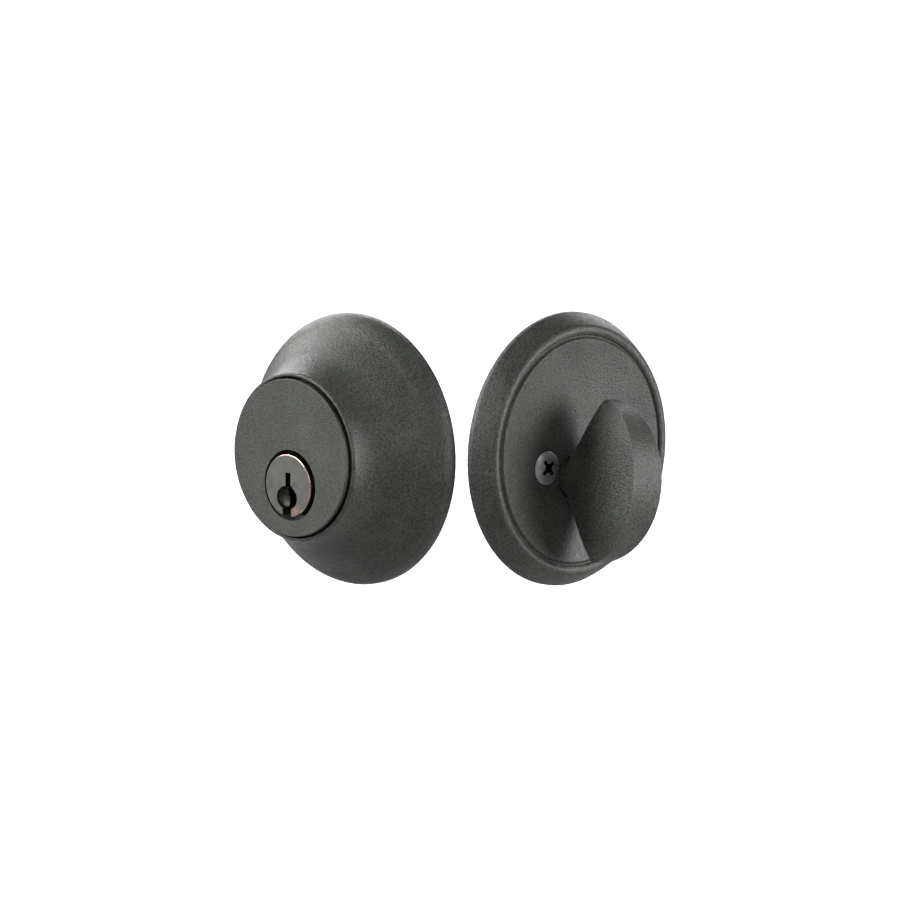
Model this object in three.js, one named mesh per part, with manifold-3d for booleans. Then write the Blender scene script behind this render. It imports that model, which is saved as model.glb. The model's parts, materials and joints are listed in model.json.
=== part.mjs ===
// Single-cylinder tubular deadbolt, off the door: the keyed outside trim, the thumbturn inside trim and
// the drive-in bolt unit. Millimetres, +Z up.
//
// Part frame: the origin is the centre of the outside trim's seat, on the outer door face. The outside
// trim faces -Y. The inside trim stands beside it, square to it, and faces +X. The bolt unit lies
// behind the outside trim, on the line that halves the corner between the two trims.
//
// Each half is built in a trim frame of its own: x to the right and y up as seen by someone facing it,
// z out of the door, with z = 0 on the door's face. All the turned pieces share one drive axis, which
// lies DRIVE_DROP below the centre of the trims.
import * as THREE from "three";
import { mergeVertices } from "three/addons/utils/BufferGeometryUtils.js";
import Module from "manifold-3d";

const wasm = await Module();
wasm.setup();

// ---- Driving dimensions ----
const CORNER_X = 36; // plane of the inside trim's seat
const CORNER_Y = 35; // centre of the inside trim along Y
const DRIVE_DROP = 6.8; // drive axis below the centre of the trims
const FINE = 64; // segments round the big visible turnings
const ROUND = 32; // segments round middle-sized turnings
const COARSE = 16; // segments round pins and screws

// Outside trim
const COLLAR_R = 33.55;
const COLLAR_H = 22.6;
const COLLAR_EDGE = 1.6; // upright edge at the seat
const LIP_R = 20.9;
const SEAT_INNER_R = 30.2;
const FACE_R = 19.4; // the cylinder's round face, which stands proud of the collar's lip
const FACE_Z = 23.85;
const FACE_NECK_R = 18.6; // undercut behind the face
const SEAM = 0.5; // gap between that face and the collar
const BODY_R = 17.9;
const HOUSING_BACK = -4;
const PLUG_R = 6.35;
const PLUG_HEAD_R = 7.7;
const MOUTH_R = 8.75; // counterbore round the plug's head
const PLUG_FACE_Z = 24.5;
const POST_X = 6; // through-bolt centres, from the trim's centre
const POST_Y = 16.5;
const POST_END = -20;
const TAIL_END = -30;
const PIN_PITCH = 3.96;
const PIN_FIRST_Z = 15.6;
const PIN_LENGTHS = [4.2, 5.4, 4.8, 6.0, 5.1]; // the bitting: one length for each pin
const PIN_R = 1.3;
const CHAMBER_R = 1.6;
const SPRING_TOP = 13.2;

// Inside trim
const ROSE_R = 33.85;
const BEAD_R = 31.0; // where the flank meets the bead
const BEAD_Z = 6.0;
const GROOVE_R = 28.5;
const GROOVE_Z = 5.65;
const DISH_EDGE_R = 27.5;
const DISH_EDGE_Z = 6.4;
const DISH_CENTRE_Z = 4.0;
const ROSE_WALL = 1.9;
const TRIM_SCREW_X = 10;
const TRIM_SCREW_Y = -3.5;
const PLATE_R = 26;
const PLATE_T = 1.5;
const TURN_LEAN = THREE.MathUtils.degToRad(-6.5); // the thumbturn's lean from upright at rest
const TURN_HALF_HEIGHT = 20.1;
const TURN_HALF_THICKNESS = 5.1;
const TURN_TOP_Z = 28.6;
const TURN_BACK_Z = 6.0;
const TURN_TIP_Z = 15.0;

// Bolt unit
const BACKSET = 60.3;
const BOLT_R = 9.5;
const BOLT_LENGTH = 36;
const TUBE_R = 11.9;
const COLLAR_FRONT_R = 12.7;
const THROW = 25.4;
const ARM = THROW / Math.SQRT2; // a quarter turn of an arm this long moves its pin by THROW
const LINK_X = -32.4; // the cross pin that couples the bolt to its bar
const LINK_Y = 4.5;
const UNIT_TAIL = -79; // back end of the bolt unit, from its front face
const UNIT_FRONT_X = -72; // the front face's centre in the part frame
const UNIT_FRONT_Y = 72;

// ---- Materials ----
function finish(color, roughness, metalness) {
  return new THREE.MeshStandardMaterial({ color, roughness, metalness });
}
const textured_black = finish(0x2e302e, 0.6, 0.3);
const plug_bronze = finish(0x6e6c66, 0.4, 0.8);
const black_screw = finish(0x2b2b2e, 0.35, 0.7);
const brass = finish(0xb08d4c, 0.35, 1.0);
const zinc_steel = finish(0xb4b6b8, 0.4, 1.0);
const spring_steel = finish(0x8c8f92, 0.3, 1.0);
const hard_steel = finish(0x6f7377, 0.35, 1.0);
const nylon = finish(0xe6e2d6, 0.6, 0.0);

// ---- Solids and booleans ----

// A closed three.js geometry as a manifold-3d solid.
function solid(geometry) {
  const bare = geometry.index ? geometry.toNonIndexed() : geometry.clone();
  bare.deleteAttribute("normal");
  bare.deleteAttribute("uv");
  const merged = mergeVertices(bare, 1e-4);
  const mesh = new wasm.Mesh({
    numProp: 3,
    vertProperties: merged.attributes.position.array,
    triVerts: new Uint32Array(merged.index.array),
  });
  return new wasm.Manifold(mesh);
}

// A manifold-3d solid back as a three.js geometry.
function geometryOf(made) {
  const mesh = made.getMesh();
  return new THREE.BufferGeometry()
    .setAttribute("position", new THREE.BufferAttribute(new Float32Array(mesh.vertProperties), 3))
    .setIndex(new THREE.BufferAttribute(new Uint32Array(mesh.triVerts), 1));
}

function cut(base, ...tools) {
  return geometryOf(tools.reduce((made, tool) => made.subtract(solid(tool)), solid(base)));
}

function join(...pieces) {
  return geometryOf(pieces.map(solid).reduce((made, piece) => made.add(piece)));
}

function overlapOf(a, b) {
  return geometryOf(solid(a).intersect(solid(b)));
}

// ---- Basic shapes ----

// Twice the signed area of a closed outline of [r, z] points.
function turnSense(outline) {
  return outline.reduce((sum, [r, z], i) => {
    const [r2, z2] = outline[(i + 1) % outline.length];
    return sum + r * z2 - r2 * z;
  }, 0);
}

// A solid of revolution about +Z from [r, z] points. The outline closes on itself or on the axis.
function turned(outline, segments = ROUND) {
  const points = (turnSense(outline) > 0 ? outline : [...outline].reverse()).map(
    ([r, z]) => new THREE.Vector2(r, z),
  );
  const onAxis = outline.some(([r]) => r === 0);
  if (onAxis) {
    while (!(points[0].x === 0 && points.at(-1).x === 0)) points.push(points.shift());
  } else {
    points.push(points[0].clone());
  }
  return new THREE.LatheGeometry(points, segments).rotateX(Math.PI / 2);
}

function rod(radius, z0, z1, segments = COARSE) {
  return turned([[0, z0], [radius, z0], [radius, z1], [0, z1]], segments);
}

function ring(inner, outer, z0, z1, segments = ROUND) {
  return turned([[inner, z0], [outer, z0], [outer, z1], [inner, z1]], segments);
}

function block(x0, x1, y0, y1, z0, z1) {
  const box = new THREE.BoxGeometry(x1 - x0, y1 - y0, z1 - z0);
  return box.translate((x0 + x1) / 2, (y0 + y1) / 2, (z0 + z1) / 2);
}

// A flat outline of [x, y] points, pulled from z0 to z1.
function slab(outline, z0, z1) {
  const shape = new THREE.Shape(outline.map(([x, y]) => new THREE.Vector2(x, y)));
  const settings = { depth: z1 - z0, bevelEnabled: false };
  return new THREE.ExtrudeGeometry(shape, settings).translate(0, 0, z0);
}

// Round wire of the given radius along a helix about +Z, with its ends squared off.
function coil(radius, wire, turns, z0, z1, stepsPerTurn = 10, sides = 6) {
  class Helix extends THREE.Curve {
    getPoint(t) {
      const angle = t * turns * 2 * Math.PI;
      return new THREE.Vector3(radius * Math.cos(angle), radius * Math.sin(angle), z0 + (z1 - z0) * t);
    }
  }
  const section = new THREE.Shape(
    Array.from({ length: sides }, (_, i) => {
      const angle = (i * 2 * Math.PI) / sides;
      return new THREE.Vector2(wire * Math.cos(angle), wire * Math.sin(angle));
    }),
  );
  const steps = Math.round(turns * stepsPerTurn);
  return new THREE.ExtrudeGeometry(section, { extrudePath: new Helix(), steps });
}

// Points sampled from a three.js curve as [x, y] pairs.
function along(curve, steps) {
  return curve.getPoints(steps).map((p) => [p.x, p.y]);
}

// A Phillips recess: two crossed wedges, its mouth at z = 0.
function crossRecess(reach, width, depth) {
  const root = reach * 0.35;
  const outline = [[-reach, 0.4], [-reach, 0], [-root, -depth], [root, -depth], [reach, 0], [reach, 0.4]];
  const blade = slab(outline, -width / 2, width / 2).rotateX(Math.PI / 2);
  return join(blade, blade.clone().rotateZ(Math.PI / 2)).rotateZ(Math.PI / 5);
}

// ---- Scene graph ----
const part = new THREE.Group();
const outside = new THREE.Group();
outside.rotation.x = Math.PI / 2;
const inside = new THREE.Group();
inside.rotation.x = Math.PI / 2;
const insideTurn = new THREE.Group();
insideTurn.position.set(CORNER_X, CORNER_Y, 0);
insideTurn.rotation.z = Math.PI / 2;
insideTurn.add(inside);
const boltUnit = new THREE.Group();
boltUnit.rotation.x = Math.PI / 2;
const boltTurn = new THREE.Group();
boltTurn.position.set(UNIT_FRONT_X, UNIT_FRONT_Y, 0);
boltTurn.rotation.z = (3 * Math.PI) / 4;
boltTurn.add(boltUnit);
part.add(outside, insideTurn, boltTurn);

function place(group, name, geometry, material) {
  const mesh = new THREE.Mesh(geometry, material);
  mesh.name = name;
  group.add(mesh);
}

// ---- Outside trim: collar and its inner pieces ----

// Outline of the collar: upright edge, rounded shoulder, straight flank, hollow neck and rounded lip.
function collarProfile() {
  const shoulder = new THREE.QuadraticBezierCurve(
    new THREE.Vector2(COLLAR_R, COLLAR_EDGE),
    new THREE.Vector2(COLLAR_R - 0.4, 4.5),
    new THREE.Vector2(30.0, 7.2),
  );
  const neck = new THREE.QuadraticBezierCurve(
    new THREE.Vector2(24.9, 13.0),
    new THREE.Vector2(LIP_R + 0.7, 17.0),
    new THREE.Vector2(LIP_R, 21.3),
  );
  return [
    [SEAT_INNER_R, 0],
    [COLLAR_R, 0],
    ...along(shoulder, 4),
    ...along(neck, 4),
    [LIP_R - 0.15, 22.2],
    [LIP_R - 0.5, COLLAR_H],
    [FACE_R + SEAM, COLLAR_H],
    [FACE_R + SEAM, 19.8],
    [18.5, 19.8],
    [18.5, 17.2],
    [20.8, 16.4],
    [27.4, 7.8],
    [SEAT_INNER_R, 5.0],
  ];
}

function buildCollar() {
  place(outside, "exterior_collar", turned(collarProfile(), FINE), textured_black);
  const guard = [[25.2, 0.3], [27.6, 0.3], [27.6, 6.4], [26.4, 8], [18.5, 8], [18.5, 6.8], [25.2, 6.8]];
  place(outside, "guard_ring", turned(guard, 48), hard_steel);
}

// ---- Outside trim: cylinder housing, plug and pins ----
const pinHeights = PIN_LENGTHS.map((_, i) => PIN_FIRST_Z - i * PIN_PITCH);
const plugTop = -DRIVE_DROP + PLUG_R;

// An upright round rod centred on x = 0 at depth z, from y0 to y1.
function uprightRod(radius, y0, y1, z, segments = COARSE) {
  return rod(radius, y0, y1, segments).rotateX(-Math.PI / 2).translate(0, 0, z);
}

function buildHousing() {
  const body = turned(
    [
      [0, HOUSING_BACK],
      [BODY_R, HOUSING_BACK],
      [BODY_R, 20.1],
      [FACE_NECK_R, 20.1],
      [FACE_NECK_R, FACE_Z - 0.95],
      [FACE_R, FACE_Z - 0.95],
      [FACE_R, FACE_Z - 0.2],
      [FACE_R - 0.2, FACE_Z],
      [0, FACE_Z],
    ],
    FINE,
  );
  const ears = [-1, 1].map((side) => {
    return rod(4.2, HOUSING_BACK, 6.3, 24).translate(side * POST_X, -side * POST_Y, 0);
  });
  const bore = rod(PLUG_R + 0.12, HOUSING_BACK - 1, 22, ROUND).translate(0, -DRIVE_DROP, 0);
  const mouth = rod(MOUTH_R, 20.4, FACE_Z + 1, 48).translate(0, -DRIVE_DROP, 0);
  const chambers = pinHeights.map((z) => uprightRod(CHAMBER_R, plugTop - 3, SPRING_TOP + 1, z));
  const coverSlot = block(-2.5, 2.5, SPRING_TOP + 0.2, BODY_R + 1, -2.4, 18.4);
  const sockets = [-1, 1].map((side) => {
    return rod(2.2, HOUSING_BACK - 1, 1.4).translate(side * POST_X, -side * POST_Y, 0);
  });
  const drillPinHole = rod(1.15, -20, 20).rotateY(Math.PI / 2).translate(0, 1.4, 18.8);
  const housing = cut(join(body, ...ears), bore, mouth, ...chambers, coverSlot, ...sockets, drillPinHole);
  place(outside, "cylinder_housing", housing, textured_black);
  place(outside, "spring_cover", block(-2.2, 2.2, SPRING_TOP + 0.5, SPRING_TOP + 2.1, -2.1, 18.1), brass);
  const drillPin = rod(0.95, -17, 17).rotateY(Math.PI / 2).translate(0, 1.4, 18.8);
  place(outside, "anti_drill_pin", drillPin, hard_steel);
}

// The threaded post that a through-bolt screws into, with a spigot in the housing's ear.
function buildPosts() {
  for (const [name, side] of [["lower", 1], ["upper", -1]]) {
    const shoulder = HOUSING_BACK - 0.3;
    const outline = [[0, POST_END], [3.2, POST_END], [3.2, shoulder], [1.9, shoulder], [1.9, 1], [0, 1]];
    const blank = turned(outline, 20);
    const thread = rod(2.1, POST_END - 1, POST_END + 14);
    const post = cut(blank, thread).translate(side * POST_X, -side * POST_Y, 0);
    place(outside, `mounting_post_${name}`, post, brass);
  }
}

// Half-width steps of the warded keyway, from its top down to below the plug.
function keywayOutline() {
  const right = [
    [0.85, 3.15],
    [0.85, 0.2],
    [1.45, -0.3],
    [1.45, -1.5],
    [0.6, -2.1],
    [0.6, -3.7],
    [1.0, -4.2],
    [1.0, -9],
  ];
  const left = [[-0.7, -9], [-0.7, -3.2], [-1.15, -2.7], [-1.15, -1.2], [-0.85, -0.7], [-0.85, 3.15]];
  return [...right, ...left];
}

function buildPlug() {
  const body = turned([
    [0, -7.7],
    [4.6, -7.7],
    [4.6, -5.4],
    [3.6, -5.4],
    [3.6, -4.3],
    [PLUG_R, -4.3],
    [PLUG_R, 20.8],
    [PLUG_HEAD_R, 20.8],
    [PLUG_HEAD_R, PLUG_FACE_Z - 0.5],
    [PLUG_HEAD_R - 0.4, PLUG_FACE_Z],
    [0, PLUG_FACE_Z],
  ], 40);
  const keyway = slab(keywayOutline(), -3.2, PLUG_FACE_Z + 1);
  // The key finds its way in through a shallow bowl, a pocket beside the keyway and a slot below it.
  const face = PLUG_FACE_Z;
  const bowlOutline = [[0, face - 1.5], [1.9, face - 1.3], [3.45, face], [3.5, face + 1], [0, face + 1]];
  const bowl = turned(bowlOutline, 24);
  bowl.scale(1, 0.86, 1).translate(-0.4, -3.05, 0);
  const pocketRight = [[1.8, -0.75], [2.75, -2], [2.75, -4.4], [1.1, -5.5]];
  const sidePocket = slab([[-0.75, -0.75], ...pocketRight, [-0.75, -5.5]], face - 3.4, face + 1);
  const lowerSlot = block(-1.9, 0.85, -9, -5.3, face - 3, face + 1);
  const chambers = pinHeights.map((z) => uprightRod(CHAMBER_R, -0.7, PLUG_R + 1, z));
  // The tailpiece's lug has a free quarter turn in this bow-tie pocket.
  const pocket = Array.from({ length: 7 }, (_, i) => {
    return block(-1.15, 1.15, -3.9, 3.9, -9, -6.4).rotateZ((i * Math.PI) / 12);
  });
  const tools = [keyway, bowl, sidePocket, lowerSlot, ...chambers, ...pocket];
  const plug = cut(body, ...tools).translate(0, -DRIVE_DROP, 0);
  place(outside, "key_plug", plug, plug_bronze);
}

function buildPins() {
  pinHeights.forEach((z, i) => {
    const n = i + 1;
    const top = plugTop - 0.15;
    const point = top - PIN_LENGTHS[i];
    const keyPin = turned([[0, point], [0.5, point], [PIN_R, point + 0.9], [PIN_R, top], [0, top]], 12);
    place(outside, `key_pin_${n}`, keyPin.rotateX(-Math.PI / 2).translate(0, 0, z), brass);
    const driverPin = uprightRod(PIN_R, plugTop + 0.45, plugTop + 5, z, 12);
    place(outside, `driver_pin_${n}`, driverPin, spring_steel);
    const spring = coil(1.05, 0.22, 5, plugTop + 5.4, SPRING_TOP - 0.1, 8, 5);
    place(outside, `pin_spring_${n}`, spring.rotateX(-Math.PI / 2).translate(0, 0, z), spring_steel);
  });
}

// The clip that holds the plug in, the cap that holds the tailpiece on, and the tailpiece itself.
function buildTail() {
  const clip = cut(ring(3.9, 7.9, -5.1, -4.4, ROUND), block(-2.6, 2.6, 0, 10, -6, -4));
  place(outside, "plug_clip", clip.translate(0, -DRIVE_DROP, 0), spring_steel);
  const capOutline = [
    [4.95, -5.6],
    [6.2, -5.6],
    [6.2, -10.6],
    [3.9, -10.6],
    [3.9, -9.6],
    [5.5, -9.6],
    [5.5, -7.2],
    [4.95, -7.2],
  ];
  const cap = turned(capOutline, 24);
  place(outside, "tail_cap", cap.translate(0, -DRIVE_DROP, 0), brass);
  const blade = block(-0.8, 0.8, -3.2, 3.2, TAIL_END, -8.4);
  const base = rod(5.1, -9.3, -8.0, 24);
  const lug = block(-0.8, 0.8, -3.6, 3.6, -8.2, -6.8);
  place(outside, "tailpiece", join(base, blade, lug).translate(0, -DRIVE_DROP, 0), zinc_steel);
}

// ---- Inside trim ----

// Height of the dished face of the inside rose at radius r.
function dishHeight(r) {
  return DISH_CENTRE_Z + (DISH_EDGE_Z - DISH_CENTRE_Z) * (r / DISH_EDGE_R) ** 2;
}

function roseProfile() {
  const dish = [24, 16, 7].map((r) => [r, dishHeight(r)]);
  const underside = [7, 16, 25].map((r) => [r, dishHeight(r) - ROSE_WALL]);
  const flank = new THREE.QuadraticBezierCurve(
    new THREE.Vector2(ROSE_R, 1.2),
    new THREE.Vector2(BEAD_R + 1.5, 3.9),
    new THREE.Vector2(BEAD_R, BEAD_Z - 0.1),
  );
  return [
    [30.6, 0],
    [ROSE_R, 0],
    ...along(flank, 4),
    [BEAD_R - 0.25, BEAD_Z + 0.1],
    [BEAD_R - 1.3, BEAD_Z + 0.5],
    [GROOVE_R + 0.15, BEAD_Z + 0.15],
    [GROOVE_R, BEAD_Z - 0.1],
    [GROOVE_R - 0.1, GROOVE_Z],
    [GROOVE_R - 0.35, GROOVE_Z],
    [DISH_EDGE_R, DISH_EDGE_Z],
    ...dish,
    ...underside,
    [28.6, 4.1],
    [30.6, 2.6],
  ];
}

function buildRose() {
  const blank = turned(roseProfile(), FINE);
  const drive = rod(5.8, -1, 12, ROUND).translate(0, -DRIVE_DROP, 0);
  const centre = rod(7.4, DISH_CENTRE_Z - ROSE_WALL + 0.1, dishHeight(6.5), ROUND);
  const seats = [-1, 1].map((side) => {
    const top = dishHeight(Math.hypot(TRIM_SCREW_X, TRIM_SCREW_Y));
    const cone = [[2.4, top - 2.3], [4.6, top - 0.5]];
    const seat = turned([[0, -1], [2.4, -1], ...cone, [4.6, top + 4], [0, top + 4]], 24);
    return seat.translate(side * TRIM_SCREW_X, TRIM_SCREW_Y, 0);
  });
  place(inside, "interior_rose", cut(join(blank, centre), drive, ...seats), textured_black);
}

// The paddle: an almond seen from the front, a rounded D with a pointed back seen from the side.
function buildThumbturn() {
  const H = TURN_HALF_HEIGHT;
  const T = TURN_HALF_THICKNESS;
  const tip = 2.0; // half-width of the blunt tips
  const fullness = (4 * T - tip) / 3; // how far out the ends of a cheek's curve aim
  const cheek = (side) =>
    new THREE.CubicBezierCurve(
      new THREE.Vector2(side * tip, -side * H),
      new THREE.Vector2(side * fullness, -side * 0.8 * H),
      new THREE.Vector2(side * fullness, side * 0.8 * H),
      new THREE.Vector2(side * tip, side * H),
    );
  const almond = slab([...along(cheek(1), 16), ...along(cheek(-1), 16)], 0, 40);
  const crown = TURN_TOP_Z + (TURN_TOP_Z - TURN_TIP_Z) / 3;
  const front = new THREE.CubicBezierCurve(
    new THREE.Vector2(-H, TURN_TIP_Z),
    new THREE.Vector2(-H + 2.7, crown),
    new THREE.Vector2(H - 2.7, crown),
    new THREE.Vector2(H, TURN_TIP_Z),
  );
  // Side view: first axis up the paddle, second axis out of the door.
  const upperBack = [[H, TURN_TIP_Z - 0.8], [9, 9.2], [3.2, TURN_BACK_Z]];
  const lowerBack = upperBack.map(([up, out]) => [-up, out]).reverse();
  const side = slab([...along(front, 24), ...upperBack, ...lowerBack], -20, 20);
  side.rotateX(Math.PI / 2).rotateZ(Math.PI / 2);
  const paddle = overlapOf(almond, side);
  const hub = turned([[0, 3.3], [5.3, 3.3], [5.0, 8.0], [0, 9.0]], ROUND);
  const socket = rod(4.3, 2, 6.2, 24);
  const turn = cut(join(paddle, hub), socket).rotateZ(TURN_LEAN).translate(0, -DRIVE_DROP, 0);
  place(inside, "thumbturn", turn, textured_black);
}

// The slotted shaft that carries the thumbturn's motion to the tailpiece, and what holds it.
function buildSpindle() {
  const outline = [
    [0, -12],
    [4.6, -12],
    [4.6, -3.3],
    [3.9, -3.3],
    [3.9, -2.3],
    [4.6, -2.3],
    [4.6, 3.0],
    [4.0, 3.2],
    [4.0, 5.9],
    [0, 5.9],
  ];
  const blank = turned(outline, 24);
  const slot = block(-1.15, 1.15, -3.5, 3.5, -13, -3.6);
  const spindle = cut(blank, slot).rotateZ(TURN_LEAN).translate(0, -DRIVE_DROP, 0);
  place(inside, "thumbturn_spindle", spindle, zinc_steel);
  const bush = turned([[4.9, -1.6], [7.9, -1.6], [7.9, -0.3], [6.5, -0.3], [6.5, 1.9], [4.9, 1.9]], 24);
  place(inside, "nylon_bush", bush.translate(0, -DRIVE_DROP, 0), nylon);
  const clip = cut(ring(4.2, 7.4, -3.1, -2.5, 24), block(-2.2, 2.2, 0, 10, -4, -2));
  place(inside, "spindle_clip", clip.translate(0, -DRIVE_DROP, 0), spring_steel);
}

function buildMountingPlate() {
  const blank = ring(1, PLATE_R, 0, PLATE_T, 48);
  const hub = rod(6.8, -1, 3, 24).translate(0, -DRIVE_DROP, 0);
  const plug = rod(2, 0, PLATE_T, 12); // fills the blank's centre, above the hub opening
  const bolts = [-1, 1].map((side) => rod(2.7, -1, 5).translate(side * POST_X, side * POST_Y, 0));
  const bosses = [-1, 1].map((side) => {
    return rod(3.4, PLATE_T - 0.4, 2.2, 20).translate(side * TRIM_SCREW_X, TRIM_SCREW_Y, 0);
  });
  const threads = [-1, 1].map((side) => {
    return rod(2.25, -1, 6).translate(side * TRIM_SCREW_X, TRIM_SCREW_Y, 0);
  });
  const slots = [-1, 1].map((side) => block(side * 19 - 3, side * 19 + 3, -1.6, 1.6, -1, 3));
  const plate = cut(join(blank, plug, ...bosses), hub, ...bolts, ...threads, ...slots);
  place(inside, "mounting_plate", plate, zinc_steel);
}

// Two screws that show in the rose, and the two hidden through-bolts that clamp the plate to the posts.
function buildInsideScrews() {
  const top = dishHeight(Math.hypot(TRIM_SCREW_X, TRIM_SCREW_Y));
  for (const [name, side] of [["left", -1], ["right", 1]]) {
    const outline = [
      [0, -4.4],
      [1.9, -4.4],
      [1.9, top - 2.2],
      [4.15, top - 0.2],
      [3.4, top + 0.25],
      [2, top + 0.5],
      [0, top + 0.6],
    ];
    const blank = turned(outline, 24);
    const screw = cut(blank, crossRecess(2.3, 0.9, 1.9).translate(0, 0, top + 0.55));
    screw.translate(side * TRIM_SCREW_X, TRIM_SCREW_Y, 0);
    place(inside, `trim_screw_${name}`, screw, black_screw);
  }
  for (const [name, side] of [["lower", -1], ["upper", 1]]) {
    const head = PLATE_T + 0.25;
    const outline = [
      [0, -19.2],
      [1.7, -19.2],
      [1.9, -18.6],
      [1.9, head],
      [4.2, head],
      [4.2, head + 0.4],
      [3.4, head + 0.75],
      [0, head + 0.9],
    ];
    const blank = turned(outline, 20);
    const bolt = cut(blank, crossRecess(2.2, 0.9, 1.2).translate(0, 0, head + 0.8));
    place(inside, `through_bolt_${name}`, bolt.translate(side * POST_X, side * POST_Y, 0), zinc_steel);
  }
}

// ---- Bolt unit ----
// Unit frame: x is the way the bolt comes out, with x = 0 on the door's edge; y up; z across the door.

// Turns a piece built about +Z so that it lies along +X.
function alongX(geometry) {
  return geometry.rotateY(Math.PI / 2);
}

function buildBolt() {
  const outline = [[0, -BOLT_LENGTH], [BOLT_R, -BOLT_LENGTH], [BOLT_R, -0.9], [BOLT_R - 0.9, 0], [0, 0]];
  const blank = alongX(turned(outline, 40));
  const pinHole = rod(2.4, -12, 12, 20).translate(-12, 0, 0);
  const barSlot = block(-BOLT_LENGTH - 1, -28.4, -20, 20, -1.5, 1.5);
  const linkHole = rod(1.9, -12, 12).translate(LINK_X, LINK_Y, 0);
  place(boltUnit, "bolt", cut(blank, pinHole, barSlot, linkHole), brass);
  place(boltUnit, "saw_guard_pin", rod(2.1, -8.8, 8.8, 20).translate(-12, 0, 0), hard_steel);
  place(boltUnit, "link_pin", rod(1.6, -8, 8).translate(LINK_X, LINK_Y, 0), hard_steel);
}

function buildCase() {
  place(boltUnit, "bolt_tube", alongX(ring(BOLT_R + 0.5, TUBE_R, -41.5, -2.4, 40)), zinc_steel);
  const outline = [
    [BOLT_R + 0.3, -2],
    [BOLT_R + 0.3, 0],
    [COLLAR_FRONT_R - 0.5, 0],
    [COLLAR_FRONT_R, -0.5],
    [COLLAR_FRONT_R, -12],
    [TUBE_R + 0.3, -12],
    [TUBE_R + 0.3, -2],
  ];
  place(boltUnit, "drive_in_collar", alongX(turned(outline, 48)), brass);
}

// Outline of a stamped side plate: a tongue in the tube's flats, then the frame round the hub.
function framePlate(z0, z1) {
  const outline = [
    [-37.4, -7.7],
    [-37.4, 7.7],
    [-43, 7.7],
    [-46, 15],
    [-75, 15],
    [UNIT_TAIL, 11],
    [UNIT_TAIL, -11],
    [-75, -15],
    [-46, -15],
    [-43, -7.7],
  ];
  const plate = slab(outline, z0, z1);
  const hubHole = rod(5.0, z0 - 1, z1 + 1, 24).translate(-BACKSET, -DRIVE_DROP, 0);
  const rivetHoles = rivetPlaces.map(([x, y]) => rod(1.7, z0 - 1, z1 + 1, 12).translate(x, y, 0));
  const window = block(-68, -52, 3.4, 6, z0 - 1, z1 + 1);
  return cut(plate, hubHole, window, ...rivetHoles);
}
const rivetPlaces = [[-50.5, -11.5], [-76.4, -9.5]];

function buildFrame() {
  place(boltUnit, "frame_plate_near", framePlate(4.2, 5.6), zinc_steel);
  place(boltUnit, "frame_plate_far", framePlate(-5.6, -4.2), zinc_steel);
  rivetPlaces.forEach(([x, y], i) => {
    const upper = [[2.6, 3.9], [1.4, 3.9], [1.4, 5.9], [2.5, 5.9], [2.5, 6.6], [0, 6.6]];
    const lower = upper.map(([r, z]) => [r, -z]).reverse();
    const rivet = turned([...lower, ...upper], 16);
    place(boltUnit, `frame_rivet_${i + 1}`, rivet.translate(x, y, 0), zinc_steel);
  });
}

// The cam's arm leans back by 45 degrees with the bolt in, and forward by 45 degrees with it out.
const armStart = -Math.PI / 4;

function buildCam() {
  const pinX = ARM * Math.sin(armStart);
  const pinY = ARM * Math.cos(armStart);
  const hub = rod(5.7, -3.8, 3.8, 28);
  const journal = rod(4.7, -6.4, 6.4, 28);
  const armOutline = [[-3.6, -1], [3.6, -1], [2.3, ARM], [0, ARM + 1.9], [-2.3, ARM]];
  const arm = slab(armOutline, 1.4, 3.6).rotateZ(-armStart);
  const pin = rod(1.5, -2.6, 2, 14).translate(pinX, pinY, 0);
  const slot = block(-1.1, 1.1, -3.5, 3.5, -8, 8);
  const cam = cut(join(hub, journal, arm, pin), slot);
  place(boltUnit, "hub_cam", cam.translate(-BACKSET, -DRIVE_DROP, 0), hard_steel);
}

// The flat bar between the bolt and the cam. The cam's pin works in its upright slot.
function buildBoltBar() {
  const slotX = -BACKSET + ARM * Math.sin(armStart);
  const outline = [
    [-28.9, 1],
    [-28.9, 8],
    [-66.4, 8],
    [slotX + 4.8, 14],
    [slotX - 4.6, 14],
    [slotX - 4.6, 2.6],
    [slotX + 6, 1],
  ];
  const bar = slab(outline, -1, 1);
  const slot = block(slotX - 2.3, slotX + 2.3, 3.6, 12.8, -2, 2);
  const linkHole = rod(1.9, -2, 2).translate(LINK_X, LINK_Y, 0);
  place(boltUnit, "bolt_bar", cut(bar, slot, linkHole), hard_steel);
}

buildCollar();
buildHousing();
buildPosts();
buildPlug();
buildPins();
buildTail();
buildRose();
buildThumbturn();
buildSpindle();
buildMountingPlate();
buildInsideScrews();
buildBolt();
buildCase();
buildFrame();
buildCam();
buildBoltBar();

export default part;
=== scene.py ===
"""Looks of a tubular deadbolt: two textured black trims, a keyed plug, a thumbturn and the bolt unit."""

import json
import math

import bmesh
import bpy
from mathutils import Matrix, Vector


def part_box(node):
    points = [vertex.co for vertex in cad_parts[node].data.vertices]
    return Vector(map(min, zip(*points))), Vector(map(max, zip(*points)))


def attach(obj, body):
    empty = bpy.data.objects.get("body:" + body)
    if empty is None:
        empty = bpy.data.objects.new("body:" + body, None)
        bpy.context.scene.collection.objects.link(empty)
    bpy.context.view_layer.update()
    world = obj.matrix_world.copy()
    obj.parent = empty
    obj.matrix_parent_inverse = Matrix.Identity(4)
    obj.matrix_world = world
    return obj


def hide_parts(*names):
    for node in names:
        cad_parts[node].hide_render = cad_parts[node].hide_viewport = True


MM = 0.001

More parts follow.
